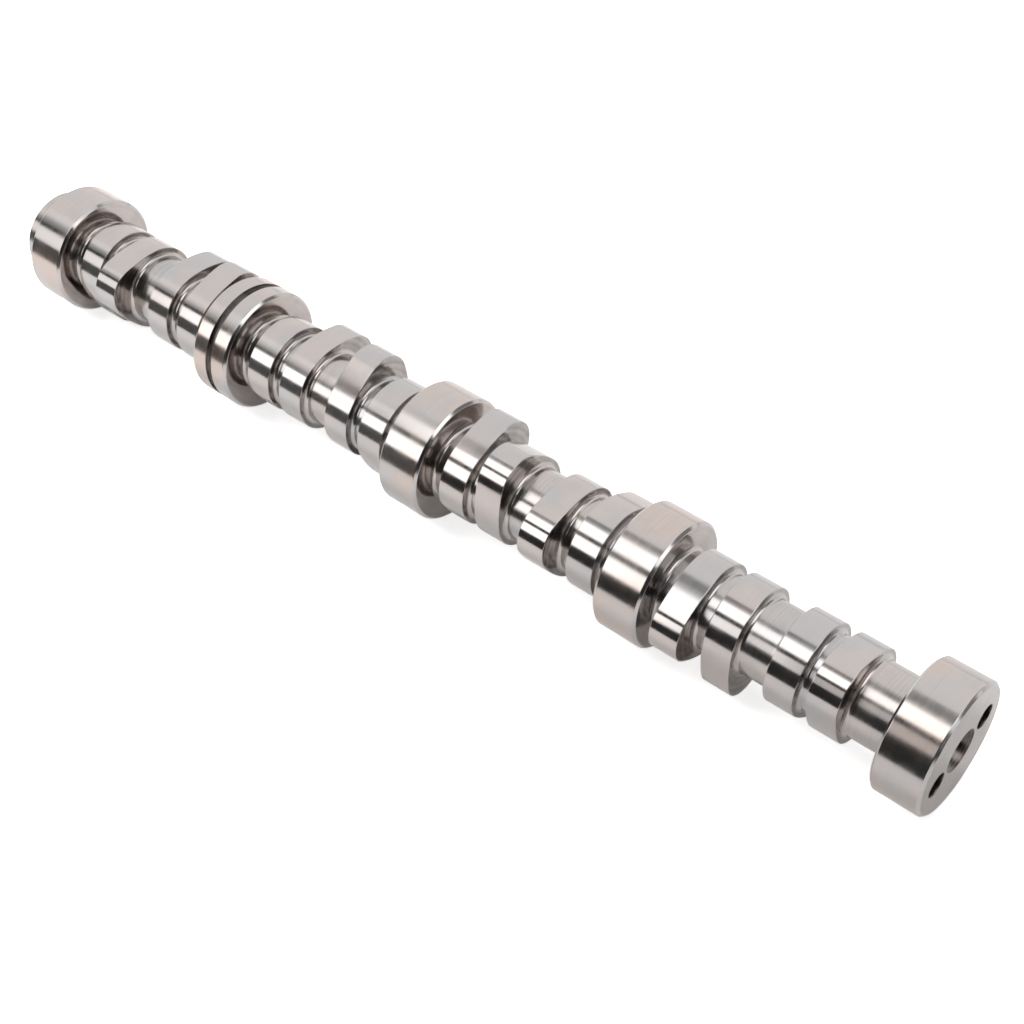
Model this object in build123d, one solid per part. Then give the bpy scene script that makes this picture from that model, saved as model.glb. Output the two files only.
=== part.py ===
"""One-piece steel camshaft for a ninety-degree pushrod V8.

Frame: millimetres. +X runs along the shaft axis towards the drive end, +Z is up, and the
origin is on the floor under the middle of the shaft's length, so the journals lie on z = 0.
The whole shaft is one solid: a turned core with five journals, sixteen ground lobes, a rear
spigot and the holes in the drive end.
"""
import os
from math import atan2, cos, hypot, radians, sin, tan

from build123d import *

# --- driving dimensions -------------------------------------------------------------------
PITCH = 111.76                 # cylinder and bearing spacing, 4.400 in
JOURNAL_D = 55.0
JOURNAL_LAND = 18.2            # ground cylindrical length of a journal
JOURNAL_CHAMFER = 1.15         # 45 degree chamfer on both rims of every journal
JOURNALS = 5
DRIVE_SHIFT = 11.5             # the drive-end journal stands this much further forward
CORE_D = 32.0
SPIGOT_D = 41.0
SPIGOT_LEN = 11.0
CORE_ROOT = 1.4                # 45 degree root where the core meets a lobe or a journal

BASE_R = 19.8                  # lobe base circle
LIFT = 7.3
NOSE_R = 13.0
HALF_EVENT = 71.0              # angle from the nose to the end of the opening flank
LOBE_W = 12.7
INNER_OFFSET = 13.65           # lobe centres either side of the middle of each bay
OUTER_OFFSET = 32.95

FIRING_ORDER = (1, 8, 4, 3, 6, 5, 7, 2)
BANK_ANGLE = 90.0
LOBE_SEPARATION = 112.0        # exhaust nose to intake nose of one cylinder
FIRST_NOSE = 180.0             # intake nose of cylinder 1, from +Y towards +Z

GROOVE_W = 3.0                 # oil groove round the fourth journal
GROOVE_DEPTH = 1.2
GROOVED_JOURNAL = 4

BOLT_D = 12.6                  # thread bore in the drive end
BOLT_DEPTH = 38.0
BOLT_MOUTH_D = 18.0            # countersink of that bore
BOLT_MOUTH_ANGLE = 90.0
PIN_D = 9.6                    # the two side holes
PIN_DEPTH = 14.0
PIN_CIRCLE_D = 32.0
PIN_ANGLE = 16.0
PIN_EDGE = 0.4
DRILL_POINT = 118.0
CENTRE_MOUTH_D = 12.0          # centre hole in the rear face
CENTRE_D = 5.0
CENTRE_ANGLE = 60.0
CENTRE_PILOT = 6.0

# --- derived stations ---------------------------------------------------------------------
JOURNAL_R = JOURNAL_D / 2
CORE_R = CORE_D / 2
AXIS_Z = JOURNAL_R
HALF_JOURNAL = JOURNAL_LAND / 2 + JOURNAL_CHAMFER
MIDDLE = (JOURNALS + 1) // 2


def journal_x(number):
    """Axial centre of a journal; number 1 is at the drive end."""
    return (MIDDLE - number) * PITCH + (DRIVE_SHIFT if number == 1 else 0.0)


def bay_x(bay):
    """Middle of the bay behind journal number `bay`, without the drive-end shift."""
    return (MIDDLE - bay - 0.5) * PITCH


def nose_angle(cylinder, exhaust):
    """Nose direction of a lobe, in degrees from +Y towards +Z."""
    step = 360.0 / len(FIRING_ORDER)
    bank = BANK_ANGLE if cylinder % 2 == 0 else 0.0
    intake = FIRST_NOSE - bank - step * FIRING_ORDER.index(cylinder)
    return intake + (LOBE_SEPARATION if exhaust else 0.0)


def lobes():
    """(axial centre, nose angle) of each lobe, from the drive end to the rear."""
    table = []
    for bay in range(1, JOURNALS):
        odd, even = 2 * bay - 1, 2 * bay
        row = ((OUTER_OFFSET, even, False), (INNER_OFFSET, odd, True),
               (-INNER_OFFSET, even, True), (-OUTER_OFFSET, odd, False))
        table += [(bay_x(bay) + off, nose_angle(cyl, exhaust)) for off, cyl, exhaust in row]
    return table


FRONT_X = journal_x(1) + HALF_JOURNAL
JOURNAL_REAR_X = journal_x(JOURNALS) - HALF_JOURNAL
REAR_X = JOURNAL_REAR_X - SPIGOT_LEN
MID_X = (FRONT_X + REAR_X) / 2


# --- lobe ---------------------------------------------------------------------------------
def lobe_solid():
    """Three-arc lobe centred on the origin, nose towards +Y, extruded along X."""
    half = radians(HALF_EVENT)
    nose_c = BASE_R + LIFT - NOSE_R
    step = BASE_R - NOSE_R
    back = (nose_c ** 2 - step ** 2) / (2 * (step - nose_c * cos(half)))
    flank_r = BASE_R + back
    flank_c = (-back * cos(half), -back * sin(half))
    reach = hypot(nose_c - flank_c[0], -flank_c[1])
    nose_t = (nose_c + NOSE_R * (nose_c - flank_c[0]) / reach, -NOSE_R * flank_c[1] / reach)
    base_t = (BASE_R * cos(half), BASE_R * sin(half))
    low = atan2(nose_t[1] - flank_c[1], nose_t[0] - flank_c[0])
    mid = (low + half) / 2
    flank_m = (flank_c[0] + flank_r * cos(mid), flank_c[1] + flank_r * sin(mid))

    def flip(point):
        return point[0], -point[1]

    with BuildPart() as part:
        with BuildSketch(Plane(origin=(0, 0, 0), x_dir=(0, 1, 0), z_dir=(1, 0, 0))):
            with BuildLine():
                ThreePointArc(base_t, (-BASE_R, 0), flip(base_t))
                ThreePointArc(flip(base_t), flip(flank_m), flip(nose_t))
                ThreePointArc(flip(nose_t), (BASE_R + LIFT, 0), nose_t)
                ThreePointArc(nose_t, flank_m, base_t)
            make_face()
        extrude(amount=LOBE_W / 2, both=True)
    return part.part


# --- turned body --------------------------------------------------------------------------
def collars():
    """Axial spans of everything that stands out of the core, drive end first."""
    spans = [(journal_x(n) - HALF_JOURNAL, journal_x(n) + HALF_JOURNAL)
             for n in range(1, JOURNALS + 1)]
    spans += [(x - LOBE_W / 2, x + LOBE_W / 2) for x, _ in lobes()]
    return sorted(spans, reverse=True)


def core_solid():
    """Core with a conical root on both sides of each gap between two collars."""
    with BuildPart() as part:
        with BuildSketch(Plane.XY):
            with BuildLine():
                inset = 1.0
                root_r = CORE_R + CORE_ROOT
                spans = collars()
                here = (spans[0][1] - inset, root_r)
                Line((here[0], 0), here)
                for (low, _), (_, high) in zip(spans, spans[1:]):
                    Polyline(here, (low, root_r), (low - CORE_ROOT, CORE_R),
                             (high + CORE_ROOT, CORE_R), (high, root_r))
                    here = (high, root_r)
                end = (spans[-1][0] + inset, root_r)
                Line(here, end)
                Line(end, (end[0], 0))
                Line((end[0], 0), (spans[0][1] - inset, 0))
            make_face()
        revolve(axis=Axis.X)
    return part.part


def journal_solid(number):
    """Turned disc with chamfered rims; the grooved one carries its oil groove."""
    x = journal_x(number)
    rim_r = JOURNAL_R - JOURNAL_CHAMFER
    half = JOURNAL_LAND / 2
    outline = [(x + HALF_JOURNAL, 0), (x + HALF_JOURNAL, rim_r), (x + half, JOURNAL_R)]
    if number == GROOVED_JOURNAL:
        for side, radii in ((1, (0, GROOVE_DEPTH)), (-1, (GROOVE_DEPTH, 0))):
            outline += [(x + side * GROOVE_W / 2, JOURNAL_R - depth) for depth in radii]
    outline += [(x - half, JOURNAL_R), (x - HALF_JOURNAL, rim_r), (x - HALF_JOURNAL, 0)]
    with BuildPart() as part:
        with BuildSketch(Plane.XY):
            with BuildLine():
                Polyline(*outline, close=True)
            make_face()
        revolve(axis=Axis.X)
    return part.part


def blind_hole(face_x, y, z, diameter, depth, mouth_d, mouth_angle, towards):
    """Drilled hole with a conical mouth, opening at face_x; towards is +1 or -1 along X."""
    radius, mouth_r = diameter / 2, mouth_d / 2
    cone = (mouth_r - radius) / tan(radians(mouth_angle / 2))
    point = radius / tan(radians(DRILL_POINT / 2))
    outline = [(0, 0), (0, mouth_r), (cone, radius), (depth, radius), (depth + point, 0)]
    with BuildPart() as part:
        with BuildSketch(Plane.XY):
            with BuildLine():
                Polyline(*outline, close=True)
            make_face()
        revolve(axis=Axis.X)
    turn = Rot(0, 0, 180) if towards > 0 else Rot(0, 0, 0)
    return Pos(face_x, y, z) * turn * part.part


def camshaft():
    body = core_solid()
    for number in range(1, JOURNALS + 1):
        body += journal_solid(number)
    lobe = lobe_solid()
    for x, angle in lobes():
        body += Pos(x, 0, 0) * Rot(angle, 0, 0) * lobe
    body += rear_spigot()
    body -= blind_hole(FRONT_X, 0, 0, BOLT_D, BOLT_DEPTH, BOLT_MOUTH_D, BOLT_MOUTH_ANGLE, 1)
    for side in (0, 180):
        turn = radians(PIN_ANGLE + side)
        y, z = PIN_CIRCLE_D / 2 * cos(turn), PIN_CIRCLE_D / 2 * sin(turn)
        body -= blind_hole(FRONT_X, y, z, PIN_D, PIN_DEPTH, PIN_D + 2 * PIN_EDGE, 90.0, 1)
    body -= blind_hole(REAR_X, 0, 0, CENTRE_D, CENTRE_PILOT + CENTRE_MOUTH_D / 2,
                       CENTRE_MOUTH_D, CENTRE_ANGLE, -1)
    return Pos(-MID_X, 0, AXIS_Z) * body


def rear_spigot():
    """Reduced end behind the last journal, with the same rim chamfer."""
    radius = SPIGOT_D / 2
    outline = [(JOURNAL_REAR_X + 1.0, 0), (JOURNAL_REAR_X + 1.0, radius),
               (REAR_X + JOURNAL_CHAMFER, radius), (REAR_X, radius - JOURNAL_CHAMFER), (REAR_X, 0)]
    with BuildPart() as part:
        with BuildSketch(Plane.XY):
            with BuildLine():
                Polyline(*outline, close=True)
            make_face()
        revolve(axis=Axis.X)
    return part.part


if __name__ == "__main__":
    os.makedirs("parts", exist_ok=True)
    shaft = camshaft()
    shaft.label = "camshaft"
    export_step(shaft, "parts/camshaft.step")
    box = shaft.bounding_box()
    print("solids", len(shaft.solids()), "faces", len(shaft.faces()), "volume", round(shaft.volume, 1))
    print("min", box.min, "max", box.max)
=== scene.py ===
"""Looks of a one-piece camshaft: ground and polished steel on white paper, between soft boxes."""

from collections import namedtuple
from math import cos, pi, radians, sin, sqrt, tan

import bmesh
import bpy
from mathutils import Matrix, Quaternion, Vector


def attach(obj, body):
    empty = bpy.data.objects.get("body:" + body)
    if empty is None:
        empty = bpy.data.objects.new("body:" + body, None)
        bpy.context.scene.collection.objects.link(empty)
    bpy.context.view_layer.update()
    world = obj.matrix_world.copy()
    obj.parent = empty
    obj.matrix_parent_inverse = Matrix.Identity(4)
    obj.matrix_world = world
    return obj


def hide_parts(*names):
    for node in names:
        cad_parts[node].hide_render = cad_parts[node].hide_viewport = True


# ---- shaft, in millimetres: the solid's sizes, plus the thread and radii that it leaves out
MM = 0.001                     # metres in a millimetre
JOURNALS = 5                   # number 1 is at the drive end
MIDDLE_JOURNAL = 3
GROOVED_JOURNAL = 4
PITCH = 111.76                 # from one journal to the next
DRIVE_SHIFT = 11.5             # the drive-end journal stands this much further forward
JOURNAL_R = 27.5
JOURNAL_LAND = 18.2            # length between a journal's two chamfers
CHAMFER = 1.15
CORE_R = 16.0
SPIGOT_R = 20.5
SPIGOT_LEN = 11.0
ROOT_R = 1.8                   # fillet between the core and every collar
CORNER_R = 0.4                 # rounding of turned corners
EDGE_R = 0.3                   # rounding of the lobe edges
BASE_R = 19.8                  # lobe base circle
LIFT = 7.3                     # of the nose above the base circle
NOSE_R = 13.0
HALF_EVENT = radians(71.0)     # from the nose to the end of a flank
LOBE_W = 12.7
INNER_OFFSET = 13.65           # lobe centres either side of the middle of a bay
OUTER_OFFSET = 32.95
FIRING_ORDER = (1, 8, 4, 3, 6, 5, 7, 2)
BANK_ANGLE = 90.0
LOBE_SEPARATION = 112.0        # exhaust nose to intake nose of one cylinder
FIRST_NOSE = 180.0             # intake nose of cylinder 1, from +Y towards +Z
GROOVE_W = 3.5                 # oil groove, wider and deeper than in the solid
GROOVE_DEPTH = 1.7
BOLT_R = 6.3                   # threaded hole in the drive face, inside its thread
BOLT_DEPTH = 38.0
BOLT_MOUTH_R = 9.0
THREAD_PITCH = 1.5
THREAD_HEIGHT = 0.75
THREAD_START = 7.0             # plain entry above the thread
THREAD_DEPTH = 26.0
PIN_R = 4.8                    # the two side holes
PIN_DEPTH = 14.0
PIN_CIRCLE_R = 16.0
PIN_ANGLE = 16.0               # of one of them, from +Y towards +Z
PIN_EDGE = 0.4                 # width of their mouths
POINT_SLOPE = tan(radians(118.0 / 2))            # drill point
CENTRE_MOUTH_R = 6.0           # centre hole in the rear face
CENTRE_R = 2.5
CENTRE_SLOPE = tan(radians(60.0 / 2))
CENTRE_PILOT = 6.0             # straight part behind its cone
MOUTH_R = 0.15                 # rounding of the hole mouths
AXIS_Z = JOURNAL_R * MM        # in metres: the shaft lies on its journals

# ---- mesh: flat margins that keep the roundings narrow, in millimetres, and steps of arcs
MOUTH_RIM = 0.5                # round each hole mouth on the drive face
FACE_RIM = 1.5                 # inside the rim of a turned face
LOBE_RIM = 1.0                 # inside the edge of a lobe's side
ROOT_RIM = 0.1                 # outside a root fillet
TURNS = 288                    # points round the shaft
HOLE_TURNS = 96
ARC_STEPS = 5
THREAD_STEPS = 8               # rings in one pitch

# ---- finishes: where one ends and the next begins, in millimetres
SAME = 0.01                    # rings closer than this share a plane or a radius
LAND_MIN = 3.0                 # strips longer than this are lands or stretches of core
ROOT_REACH = 0.5               # shorter strips up to here from a root fillet belong to the core
CENTRE_REACH = 1.0             # strips up to here from the mouth of the centre hole are its own

# ---- noise in the steel: waves to the metre, octaves, and the part of its range that counts
CLOUDS = 40.0                  # patches of warmer and cooler tint
SMUDGES = 160.0                # patches of smoother and rougher steel
SOFT_DETAIL = 2.0
FINE_DETAIL = 4.0
TINT_PART = (0.4, 0.6)
STAIN_PART = (0.35, 0.6)
WEAR_PART = (0.3, 0.7)
SMUDGE_WEAR = (0.8, 1.25)      # least and most roughness, in times the finish's own
LINE_WEAR = 0.25               # and the most that the tool marks add to it

# ---- camera and studio, in metres; a level of 1 is white
CAMERA_AT = (0.3703, -0.3925, 0.5119)
CAMERA_LOOK = (-0.46431, 0.54954, -0.69456)      # direction of view
CAMERA_ROLL = -0.00102                           # radians
CAMERA_LENS = 61.066                             # mm on the sensor
CAMERA_SENSOR = 36.0
FLOOR_SIZE = 12.0
PAPER = (0.9, 0.895, 0.89, 1)
ROOM_LIGHT = 0.34              # level of the room where it lights things
CAMERA_WHITE = 0.7             # glow of the floor that only the camera sees
MIRROR_WHITE = 0.12            # and that reflections see
BOX_DISTANCE = 1.2
CARD_DISTANCE = 1.5
NEAR_CARD_DISTANCE = 1.45
HORIZON_DISTANCE = 0.14

# A panel stands parallel to the shaft, at a distance from its axis. Seen from the axis it
# reaches from one of its two angles to the other; they turn from +Y towards +Z, in degrees.
# low and high are its ends along X.
Panel = namedtuple("Panel", "name angles distance low high level")

# Lamps that light the shaft and the floor, and don't show in the steel.
LAMPS = (
    Panel("key", (108, 132), BOX_DISTANCE, -1.4, -0.4, 9.0),
    Panel("back_key", (45, 65), BOX_DISTANCE, -0.9, 0.6, 3.5),
)
# Soft boxes that only show in the steel, added to what stands behind them: two long rows,
# above and below the dark gap that runs along the shaft, and one at the drive end.
BOXES = (
    Panel("upper_box", (105, 130), BOX_DISTANCE, -0.73, -0.09, 1.15),
    Panel("upper_box_tip", (107, 130), BOX_DISTANCE, -0.09, 0.15, 1.15),
    Panel("upper_box_dim", (101, 114), BOX_DISTANCE, -1.9, -0.73, 0.12),
    Panel("lower_box_rear", (140.5, 166), BOX_DISTANCE, -2.6, -1.5, 1.15),
    Panel("lower_box_far", (138.8, 166), BOX_DISTANCE, -1.5, -1.15, 1.35),
    Panel("lower_box", (139.5, 166), BOX_DISTANCE, -1.15, -0.43, 2.2),
    Panel("lower_box_mid", (141, 166), BOX_DISTANCE, -0.43, -0.34, 2.2),
    Panel("lower_box_dim", (139.5, 161), BOX_DISTANCE, -0.34, -0.19, 1.5),
    Panel("lower_box_end", (139.5, 161), BOX_DISTANCE, -0.19, -0.08, 0.6),
    Panel("lower_box_tip", (139.5, 157), BOX_DISTANCE, -0.08, 0.05, 0.8),
    Panel("side_box", (56, 110), BOX_DISTANCE, 0.85, 3.3, 1.0),
)
# Cards that only show in the steel, and hide the room behind them: the grey edge above the
# upper boxes, the dark gap and the soft fall of the light into it, the dark ends beyond the
# drive end, and the dark line of the horizon.
CARDS = (
    Panel("ceiling_card", (90.5, 98.5), CARD_DISTANCE, -0.85, -0.16, 0.36),
    Panel("ceiling_end", (84.5, 101.5), CARD_DISTANCE, -0.16, 0.5, 0.28),
    Panel("upper_ramp", (98.5, 102), CARD_DISTANCE, -0.85, -0.16, 0.6),
    Panel("upper_ramp_end", (101.5, 105), CARD_DISTANCE, -0.16, 0.5, 0.6),
    Panel("gap_card", (129, 175), CARD_DISTANCE, -3.4, 4.2, 0.03),
    Panel("front_card", (112, 133), CARD_DISTANCE, 0.35, 4.2, 0.08),
    Panel("recess_card", (103, 113), CARD_DISTANCE, 0.35, 1.0, 0.08),
    Panel("end_card", (88, 175), CARD_DISTANCE, 4.2, 12.0, 0.15),
    Panel("fade_high", (119, 124), CARD_DISTANCE, -1.5, -1.15, 0.8),
    Panel("fade_low", (124, 130), CARD_DISTANCE, -1.5, -1.15, 0.5),
    Panel("rear_fade", (116.5, 120.5), CARD_DISTANCE, -3.4, -1.5, 0.72),
    Panel("rear_fade_low", (120.5, 124), CARD_DISTANCE, -3.4, -1.5, 0.5),
    Panel("rear_gap", (124, 130), CARD_DISTANCE, -3.4, -1.5, 0.35),
    Panel("near_fade", (119, 124), CARD_DISTANCE, -1.14, -1.0, 0.88),
    Panel("near_gap", (125, 139), NEAR_CARD_DISTANCE, -1.13, -1.0, 0.6),
    Panel("back_card", (12, 52), CARD_DISTANCE, 0.6, 4.0, 0.25),
    Panel("horizon_card", (167, 193), HORIZON_DISTANCE, -0.06, 3.0, 0.03),
    Panel("horizon_left", (167, 193), HORIZON_DISTANCE, -3.0, -0.06, 0.1),
)

Ring = namedtuple("Ring", "x outline radius lobed")
FINISHES = ("journal", "lobe", "core", "side", "nose", "edge", "bore")


def link(obj):
    bpy.context.scene.collection.objects.link(obj)
    return obj


# ---- shape of the shaft ------------------------------------------------------------------
def journal_x(number):
    return (MIDDLE_JOURNAL - number) * PITCH + (DRIVE_SHIFT if number == 1 else 0.0)


HALF_JOURNAL = JOURNAL_LAND / 2 + CHAMFER
FRONT = journal_x(1) + HALF_JOURNAL
SHOULDER = journal_x(JOURNALS) - HALF_JOURNAL
REAR = SHOULDER - SPIGOT_LEN
MIDDLE = (FRONT + REAR) / 2


def nose_angle(cylinder, exhaust):
    """Nose direction of a lobe, in degrees from +Y towards +Z."""
    bank = BANK_ANGLE if cylinder % 2 == 0 else 0.0
    intake = FIRST_NOSE - bank - 360.0 / len(FIRING_ORDER) * FIRING_ORDER.index(cylinder)
    return intake + (LOBE_SEPARATION if exhaust else 0.0)


def bay_lobes(bay):
    """(axial centre, nose angle) of the four lobes behind journal number `bay`, front first."""
    middle = (MIDDLE_JOURNAL - 0.5 - bay) * PITCH
    odd, even = 2 * bay - 1, 2 * bay
    row = ((OUTER_OFFSET, even, False), (INNER_OFFSET, odd, True),
           (-INNER_OFFSET, even, True), (-OUTER_OFFSET, odd, False))
    return [(middle + offset, nose_angle(cylinder, exhaust)) for offset, cylinder, exhaust in row]


def circle(radius, turns=TURNS):
    return [(radius * cos(2 * pi * k / turns), radius * sin(2 * pi * k / turns)) for k in range(turns)]


def reach(centre, radius, turn):
    """Distance from the axis, in direction `turn`, to the far side of a circle."""
    along = centre[0] * cos(turn) + centre[1] * sin(turn)
    return along + sqrt(along ** 2 - centre[0] ** 2 - centre[1] ** 2 + radius ** 2)


def lobe_outline(nose, inset):
    """Three-arc lobe profile, drawn in by `inset`, with its nose at that angle."""
    nose_c = BASE_R + LIFT - NOSE_R
    step = BASE_R - NOSE_R
    back = (nose_c ** 2 - step ** 2) / (2 * (step - nose_c * cos(HALF_EVENT)))
    flank_c = (-back * cos(HALF_EVENT), -back * sin(HALF_EVENT))
    tangent = Vector((nose_c - flank_c[0], -flank_c[1])).normalized() * (NOSE_R - inset)
    nose_end = Vector((1, 0)).angle(Vector((nose_c, 0)) + tangent)
    points = []
    for k in range(TURNS):
        angle = 2 * pi * k / TURNS
        turn = abs((angle - radians(nose) + pi) % (2 * pi) - pi)
        if turn <= nose_end:
            radius = reach((nose_c, 0), NOSE_R - inset, turn)
        elif turn < HALF_EVENT:
            radius = reach(flank_c, BASE_R + back - inset, turn)
        else:
            radius = BASE_R - inset
        points.append((radius * cos(angle), radius * sin(angle)))
    return points


def soften(path):
    """Points of a profile given as (x, radius, rounding), each corner turned into an arc."""
    spots = [Vector(corner[:2]) for corner in path]
    points = [spots[0]]
    for before, spot, after, corner in zip(spots, spots[1:], spots[2:], path[1:]):
        if corner[2] == 0:
            points.append(spot)
            continue
        u, v = (before - spot).normalized(), (after - spot).normalized()
        half = u.angle(v) / 2
        centre = spot + (u + v).normalized() * corner[2] / sin(half)
        start = (spot + u * corner[2] / tan(half) - centre).normalized()
        end = (spot + v * corner[2] / tan(half) - centre).normalized()
        points += [centre + start.slerp(end, k / ARC_STEPS) * corner[2] for k in range(ARC_STEPS + 1)]
    return points + [spots[-1]]


def turned(path):
    """Rings over a turned profile."""
    return [Ring(p.x, circle(p.y), p.y, False) for p in soften(path)]


def lobed(x, nose):
    """Rings over one lobe: its front edge, its land and its rear edge."""
    front, rear = x + LOBE_W / 2, x - LOBE_W / 2
    path = [(front, -LOBE_RIM, 0), (front, 0, EDGE_R), (rear, 0, EDGE_R), (rear, -LOBE_RIM, 0)]
    return [Ring(p.x, lobe_outline(nose, -p.y), BASE_R + p.y, True) for p in soften(path)]


def journal_path(number):
    """Profile of a journal from its front face to its rear face."""
    x = journal_x(number)
    rim = JOURNAL_R - CHAMFER
    half = JOURNAL_LAND / 2
    path = [(x + HALF_JOURNAL, rim, CORNER_R), (x + half, JOURNAL_R, CORNER_R)]
    if number == GROOVED_JOURNAL:
        floor_r = JOURNAL_R - GROOVE_DEPTH
        path += [(x + GROOVE_W / 2, JOURNAL_R, MOUTH_R), (x + GROOVE_W / 2, floor_r, CORNER_R),
                 (x - GROOVE_W / 2, floor_r, CORNER_R), (x - GROOVE_W / 2, JOURNAL_R, MOUTH_R)]
    return path + [(x - half, JOURNAL_R, CORNER_R), (x - HALF_JOURNAL, rim, CORNER_R)]


def spigot_path():
    """Profile of the spigot and of the centre hole in its rear face."""
    cone = (CENTRE_MOUTH_R - CENTRE_R) / CENTRE_SLOPE
    return [(SHOULDER, SPIGOT_R, CORNER_R), (REAR + CHAMFER, SPIGOT_R, CORNER_R),
            (REAR, SPIGOT_R - CHAMFER, CORNER_R), (REAR, CENTRE_MOUTH_R, MOUTH_R),
            (REAR + cone, CENTRE_R, 0), (REAR + cone + CENTRE_PILOT, CENTRE_R, 0)]


def body_rings():
    """Every ring of the outer skin, from the drive face to the bottom of the centre hole."""
    face_r = CORE_R + ROOT_R + ROOT_RIM
    start = (FRONT, JOURNAL_R - CHAMFER - FACE_RIM, 0)
    rings = []
    for bay in range(1, JOURNALS):
        path = [start] + journal_path(bay) + [(journal_x(bay) - HALF_JOURNAL, CORE_R, ROOT_R)]
        for x, nose in bay_lobes(bay):
            path += [(x + LOBE_W / 2, CORE_R, ROOT_R), (x + LOBE_W / 2, face_r, 0)]
            rings += turned(path) + lobed(x, nose)
            path = [(x - LOBE_W / 2, face_r, 0), (x - LOBE_W / 2, CORE_R, ROOT_R)]
        front = journal_x(bay + 1) + HALF_JOURNAL
        rings += turned(path + [(front, CORE_R, ROOT_R), (front, face_r, 0)])
        start = (front, face_r + FACE_RIM, 0)
    return rings + turned([start] + journal_path(JOURNALS) + spigot_path())


def finish_of(a, b):
    """Surface finish of the strip between two rings."""
    length = abs(a.x - b.x)
    outer = max(a.radius, b.radius)
    groove_x = journal_x(GROOVED_JOURNAL)
    if length < SAME:
        return "nose" if a.lobed or b.lobed else "side"
    if a.x < REAR + CHAMFER and outer < CENTRE_MOUTH_R + CENTRE_REACH:
        return "bore"
    if max(abs(a.x - groove_x), abs(b.x - groove_x)) < GROOVE_W / 2:
        return "bore"
    if length > LAND_MIN:
        if a.lobed:
            return "lobe"
        return "journal" if a.radius > JOURNAL_R - SAME else "core"
    return "edge" if outer > CORE_R + ROOT_R + ROOT_REACH else "core"


class Skin:
    """Mesh under construction, from rings of points given in millimetres."""

    def __init__(self):
        self.mesh = bmesh.new()

    def point(self, x, y, z):
        return self.mesh.verts.new(((x - MIDDLE) * MM, y * MM, z * MM + AXIS_Z))

    def row(self, x, outline, y=0.0, z=0.0):
        return [self.point(x, y + a, z + b) for a, b in outline]

    def strip(self, a, b, finish):
        for k in range(len(a)):
            face = self.mesh.faces.new((a[k - 1], b[k - 1], b[k], a[k]))
            face.material_index = FINISHES.index(finish)

    def cap(self, row, x, y=0.0, z=0.0):
        """Closes a hole with the cone of a drill point."""
        tip = self.point(x, y, z)
        for k in range(len(row)):
            self.mesh.faces.new((row[k - 1], tip, row[k])).material_index = FINISHES.index("bore")

    def fill(self, rows, finish):
        """Flat face between an outer row and the rows of the holes in it."""
        edges = [self.mesh.edges.get((row[k - 1], row[k])) for row in rows for k in range(len(row))]
        made = bmesh.ops.triangle_fill(self.mesh, use_beauty=True, edges=edges, normal=(1, 0, 0))
        for face in made["geom"]:
            if isinstance(face, bmesh.types.BMFace):
                face.material_index = FINISHES.index(finish)

    def hole(self, path, y, z, thread=()):
        """Hole in the drive face with that profile; returns its row on the face.

        The rings of a thread go in above the bottom. The flat rim has the finish of the face.
        """
        profile = [(p.x, circle(p.y, HOLE_TURNS)) for p in soften(path)]
        profile[-1:-1] = thread
        rows = [self.row(x, outline, y, z) for x, outline in profile]
        for k, (a, b) in enumerate(zip(rows, rows[1:])):
            self.strip(a, b, "side" if k == 0 else "bore")
        bottom, radius, _ = path[-1]
        self.cap(rows[-1], bottom - radius / POINT_SLOPE, y, z)
        return rows[0]

    def to_object(self, name):
        """The finished mesh as a smooth object; the weights keep its flat faces flat."""
        bmesh.ops.recalc_face_normals(self.mesh, faces=self.mesh.faces)
        for face in self.mesh.faces:
            face.smooth = True
        data = bpy.data.meshes.new(name)
        self.mesh.to_mesh(data)
        self.mesh.free()
        obj = link(bpy.data.objects.new(name, data))
        obj.modifiers.new("flats", "WEIGHTED_NORMAL")
        return obj


def thread_rows(start):
    """Rings of the helical thread in the bolt hole, from x = start inwards."""
    rows = []
    for k in range(int(THREAD_DEPTH / THREAD_PITCH * THREAD_STEPS)):
        depth = k * THREAD_PITCH / THREAD_STEPS
        height = THREAD_HEIGHT * min(1.0, depth / THREAD_PITCH)
        outline = []
        for j in range(HOLE_TURNS):
            phase = (depth / THREAD_PITCH + j / HOLE_TURNS) % 1.0
            radius = BOLT_R + height * (1 - abs(2 * phase - 1))
            angle = 2 * pi * j / HOLE_TURNS
            outline.append((radius * cos(angle), radius * sin(angle)))
        rows.append((start - depth, outline))
    return rows


def hole_path(mouth_r, radius, depth):
    """Profile of a hole in the drive face, with a 45 degree mouth."""
    return [(FRONT, mouth_r + MOUTH_RIM, 0), (FRONT, mouth_r, MOUTH_R),
            (FRONT - (mouth_r - radius), radius, 0), (FRONT - depth, radius, 0)]


def drive_holes(skin):
    """The threaded bolt hole and the two side holes; returns their rows on the drive face."""
    bolt = hole_path(BOLT_MOUTH_R, BOLT_R, BOLT_DEPTH)
    mouths = [skin.hole(bolt, 0, 0, thread_rows(FRONT - THREAD_START))]
    pin = hole_path(PIN_R + PIN_EDGE, PIN_R, PIN_DEPTH)
    for side in (0, 180):
        turn = radians(PIN_ANGLE + side)
        mouths.append(skin.hole(pin, PIN_CIRCLE_R * cos(turn), PIN_CIRCLE_R * sin(turn)))
    return mouths


def camshaft_skin():
    """The whole shaft as one closed mesh, with its fillets, rounded edges and bolt thread."""
    skin = Skin()
    rings = body_rings()
    rows = [skin.row(ring.x, ring.outline) for ring in rings]
    for a, b, row_a, row_b in zip(rings, rings[1:], rows, rows[1:]):
        skin.strip(row_a, row_b, finish_of(a, b))
    skin.cap(rows[-1], rings[-1].x + CENTRE_R / POINT_SLOPE)
    skin.fill([rows[0]] + drive_holes(skin), "side")
    return skin.to_object("camshaft_skin")


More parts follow.
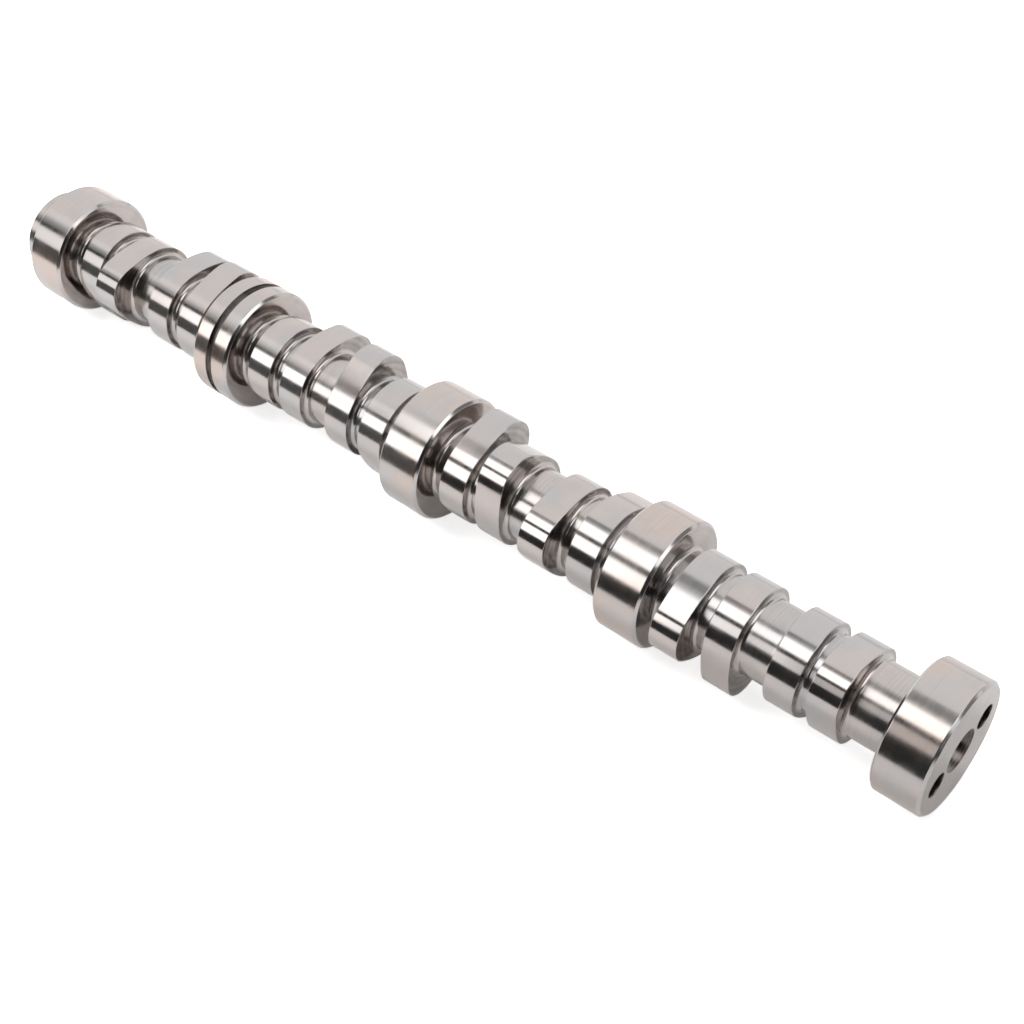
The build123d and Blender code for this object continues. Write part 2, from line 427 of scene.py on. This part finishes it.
# ---- materials ---------------------------------------------------------------------------
class Nodes:
    """Small helper that adds and joins shader nodes."""

    def __init__(self, tree):
        self.tree = tree

    def add(self, kind, **values):
        node = self.tree.nodes.new(kind)
        for key, value in values.items():
            setattr(node, key, value)
        return node

    def put(self, node, *inputs, output=0):
        """Joins or sets a node's inputs in order and returns one of its outputs."""
        for k, value in enumerate(inputs):
            if isinstance(value, bpy.types.NodeSocket):
                self.tree.links.new(value, node.inputs[k])
            else:
                node.inputs[k].default_value = value
        return node.outputs[output]

    def math(self, operation, *inputs):
        return self.put(self.add("ShaderNodeMath", operation=operation), *inputs)

    def vector(self, operation, *inputs, output=0):
        return self.put(self.add("ShaderNodeVectorMath", operation=operation), *inputs, output=output)

    def noise(self, where, scale, detail, along_line=False):
        """Noise in space, or along one line, between 0 and 1."""
        node = self.add("ShaderNodeTexNoise", noise_dimensions="1D" if along_line else "3D")
        self.join(where, node, "W" if along_line else "Vector")
        node.inputs["Scale"].default_value = scale
        node.inputs["Detail"].default_value = detail
        return node.outputs[0]

    def span(self, value, part, low, high):
        """Maps that part of a noise value's range to low..high."""
        return self.put(self.add("ShaderNodeMapRange"), value, *part, low, high)

    def blend(self, factor, a, b, mode="MIX"):
        node = self.add("ShaderNodeMix", data_type="RGBA", blend_type=mode)
        for name, value in (("Factor_Float", factor), ("A_Color", a), ("B_Color", b)):
            socket = next(s for s in node.inputs if s.identifier == name)
            if isinstance(value, bpy.types.NodeSocket):
                self.tree.links.new(value, socket)
            else:
                socket.default_value = value
        return next(s for s in node.outputs if s.identifier == "Result_Color")

    def join(self, source, target, name):
        self.tree.links.new(source, target.inputs[name])


def new_material(name):
    material = bpy.data.materials.new(name)
    material.use_nodes = True
    return material, Nodes(material.node_tree), material.node_tree.nodes["Principled BSDF"]


def steel(name, warm, cool, rough, marks, depth, radial=False, stain=0.03):
    """Bare steel whose tint drifts from warm to cool.

    Tool marks run round the shaft, so they change along it or, on radial faces, outwards:
    `marks` waves of them to the metre, `depth` metres deep. They and the smudges each darken
    the steel by up to `stain` and change its roughness.
    """
    material, nodes, shader = new_material(name)
    where = nodes.add("ShaderNodeTexCoord").outputs["Object"]
    place = nodes.vector("SUBTRACT", where, (0, 0, AXIS_Z))
    if radial:
        across = nodes.vector("MULTIPLY", place, (0, 1, 1))
        along = nodes.vector("LENGTH", across, output=1)
    else:
        along = nodes.put(nodes.add("ShaderNodeSeparateXYZ"), place)
    lines = nodes.noise(along, marks, FINE_DETAIL, along_line=True)
    clouds = nodes.noise(place, CLOUDS, SOFT_DETAIL)
    smudges = nodes.noise(place, SMUDGES, FINE_DETAIL)
    tint = nodes.blend(nodes.span(clouds, TINT_PART, 0.0, 1.0), (*cool, 1), (*warm, 1))
    tone = nodes.math("MULTIPLY", nodes.span(lines, STAIN_PART, 1.0 - stain, 1.0),
                      nodes.span(smudges, STAIN_PART, 1.0 - stain, 1.0))
    shade = nodes.put(nodes.add("ShaderNodeCombineColor"), tone, tone, tone)
    nodes.join(nodes.blend(1.0, tint, shade, "MULTIPLY"), shader, "Base Color")
    smooth, worn = SMUDGE_WEAR
    wear = nodes.math("ADD", nodes.span(smudges, WEAR_PART, smooth * rough, worn * rough),
                      nodes.span(lines, WEAR_PART, 0.0, LINE_WEAR * rough))
    nodes.join(wear, shader, "Roughness")
    bump = nodes.add("ShaderNodeBump")
    bump.inputs["Strength"].default_value = 1.0
    bump.inputs["Distance"].default_value = depth
    nodes.join(lines, bump, "Height")
    nodes.join(bump.outputs[0], shader, "Normal")
    shader.inputs["Metallic"].default_value = 1.0
    return material


def ground_journal():
    return steel("ground_journal", warm=(0.615, 0.525, 0.48), cool=(0.56, 0.53, 0.515),
                 rough=0.15, marks=900.0, depth=0.000004)


def polished_lobe():
    return steel("polished_lobe", warm=(0.585, 0.53, 0.505), cool=(0.535, 0.515, 0.51),
                 rough=0.12, marks=1400.0, depth=0.0000015, stain=0.02)


def turned_core():
    return steel("turned_core", warm=(0.57, 0.525, 0.50), cool=(0.52, 0.505, 0.5),
                 rough=0.17, marks=700.0, depth=0.000012, stain=0.06)


# Radial turned faces. Their base colour, darker than the journals' steel, is painted shade of the
# narrow gaps between the collars; the tool marks and stains are their own.
def turned_face_painted_shade():
    return steel("turned_face_painted_shade", warm=(0.55, 0.49, 0.465), cool=(0.505, 0.465, 0.445),
                 rough=0.11, marks=900.0, depth=0.00001, radial=True, stain=0.08)


# Side faces of the lobes. Their base colour, darker still, is painted shade of the gaps between the
# collars; the deep tool marks and stains are their own.
def lobe_face_painted_shade():
    return steel("lobe_face_painted_shade", warm=(0.5, 0.455, 0.435), cool=(0.46, 0.43, 0.415),
                 rough=0.1, marks=600.0, depth=0.00005, radial=True, stain=0.2)


def broken_edge():
    """Chamfers and rounded edges, rubbed brighter than the faces beside them."""
    return steel("broken_edge", warm=(0.58, 0.54, 0.52), cool=(0.54, 0.53, 0.525),
                 rough=0.13, marks=2000.0, depth=0.00001)


def painted_shade_bore():
    """Holes and the oil groove: their dark base colour is painted shade of their depth."""
    return steel("painted_shade_bore", warm=(0.24, 0.21, 0.195), cool=(0.18, 0.165, 0.155),
                 rough=0.26, marks=2000.0, depth=0.00002, stain=0.3)


def finishes():
    """Materials of the shaft, in the order of FINISHES."""
    return (ground_journal(), polished_lobe(), turned_core(), turned_face_painted_shade(), lobe_face_painted_shade(),
            broken_edge(), painted_shade_bore())


def glow(name, level):
    """Plain white emitter of that level."""
    material, nodes, shader = new_material(name)
    nodes.tree.nodes.remove(shader)
    light = nodes.put(nodes.add("ShaderNodeEmission"), (1, 1, 1, 1), level)
    nodes.join(light, nodes.tree.nodes["Material Output"], "Surface")
    return material


def ray_glow(nodes, seen, mirrored):
    """A level for the camera and another for reflections; 0 for the rays that light things."""
    path = nodes.add("ShaderNodeLightPath")
    mirror = nodes.math("MAXIMUM", path.outputs["Is Glossy Ray"], path.outputs["Is Transmission Ray"])
    direct = nodes.math("MULTIPLY", path.outputs["Is Camera Ray"], seen)
    return nodes.math("ADD", direct, nodes.math("MULTIPLY", mirror, mirrored))


def floor_paper():
    """Plain diffuse paper, which keeps the shadow, with a glow where it is seen."""
    material, nodes, shader = new_material("floor_paper")
    shader.inputs["Base Color"].default_value = PAPER
    shader.inputs["Roughness"].default_value = 1.0
    shader.inputs["Specular IOR Level"].default_value = 0.0
    shader.inputs["Emission Color"].default_value = (1, 1, 1, 1)
    nodes.join(ray_glow(nodes, CAMERA_WHITE, MIRROR_WHITE), shader, "Emission Strength")
    return material


# ---- studio ------------------------------------------------------------------------------
def panel_height(panel):
    return 2 * panel.distance * tan(radians(panel.angles[1] - panel.angles[0]) / 2)


def place_panel(obj, panel):
    """Puts an object where its panel stands, turned towards the shaft."""
    middle = radians(sum(panel.angles) / 2)
    obj.location = ((panel.low + panel.high) / 2, panel.distance * cos(middle),
                    AXIS_Z + panel.distance * sin(middle))
    obj.rotation_euler = (middle - radians(90), 0, 0)


def softbox(panel, mirrored):
    """Area light whose face has the panel's level; it either shows in the steel or lights things."""
    lamp = bpy.data.lights.new(panel.name, "AREA")
    lamp.shape = "RECTANGLE"
    lamp.size = panel.high - panel.low
    lamp.size_y = panel_height(panel)
    lamp.energy = panel.level * pi * lamp.size * lamp.size_y
    obj = link(bpy.data.objects.new(panel.name, lamp))
    place_panel(obj, panel)
    obj.visible_camera = False
    obj.visible_glossy = mirrored
    obj.visible_diffuse = not mirrored


def card(panel):
    """Glowing card that only reflections see."""
    half_x, half_y = (panel.high - panel.low) / 2, panel_height(panel) / 2
    mesh = bpy.data.meshes.new(panel.name)
    corners = [(-half_x, -half_y, 0), (half_x, -half_y, 0), (half_x, half_y, 0), (-half_x, half_y, 0)]
    mesh.from_pydata(corners, [], [(0, 1, 2, 3)])
    mesh.materials.append(glow(panel.name, panel.level))
    obj = link(bpy.data.objects.new(panel.name, mesh))
    place_panel(obj, panel)
    obj.visible_camera = False
    obj.visible_shadow = False
    obj.visible_diffuse = False


def floor():
    bpy.ops.mesh.primitive_plane_add(size=FLOOR_SIZE, location=(0, 0, 0))
    plane = bpy.context.object
    plane.name = "floor"
    plane.data.materials.append(floor_paper())


def room():
    """World: white where it is seen or mirrored, plain level where it lights."""
    world = bpy.data.worlds.new("room")
    world.use_nodes = True
    nodes = Nodes(world.node_tree)
    background = world.node_tree.nodes["Background"]
    background.inputs["Color"].default_value = (1, 1, 1, 1)
    extra = ray_glow(nodes, 1.0 - ROOM_LIGHT, 1.0 - ROOM_LIGHT)
    nodes.join(nodes.math("ADD", extra, ROOM_LIGHT), background, "Strength")
    bpy.context.scene.world = world


def camera():
    data = bpy.data.cameras.new("camera")
    data.sensor_width = CAMERA_SENSOR
    data.lens = CAMERA_LENS
    obj = link(bpy.data.objects.new("camera", data))
    obj.location = CAMERA_AT
    turn = Vector(CAMERA_LOOK).to_track_quat("-Z", "Y") @ Quaternion((0, 0, 1), CAMERA_ROLL)
    obj.rotation_euler = turn.to_euler()
    bpy.context.scene.camera = obj


def studio():
    floor()
    room()
    camera()
    for panel in LAMPS:
        softbox(panel, mirrored=False)
    for panel in BOXES:
        softbox(panel, mirrored=True)
    for panel in CARDS:
        card(panel)


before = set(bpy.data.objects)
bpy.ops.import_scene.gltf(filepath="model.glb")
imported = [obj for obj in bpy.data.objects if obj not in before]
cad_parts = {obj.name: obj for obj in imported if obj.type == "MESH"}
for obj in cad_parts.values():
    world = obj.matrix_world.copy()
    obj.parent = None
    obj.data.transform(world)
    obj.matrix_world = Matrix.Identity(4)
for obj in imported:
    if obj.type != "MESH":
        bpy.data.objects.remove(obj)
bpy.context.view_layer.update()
shaft = camshaft_skin()
for finish in finishes():
    shaft.data.materials.append(finish)
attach(shaft, "root")
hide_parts("camshaft")
studio()
bpy.context.scene.view_settings.view_transform = "Standard"
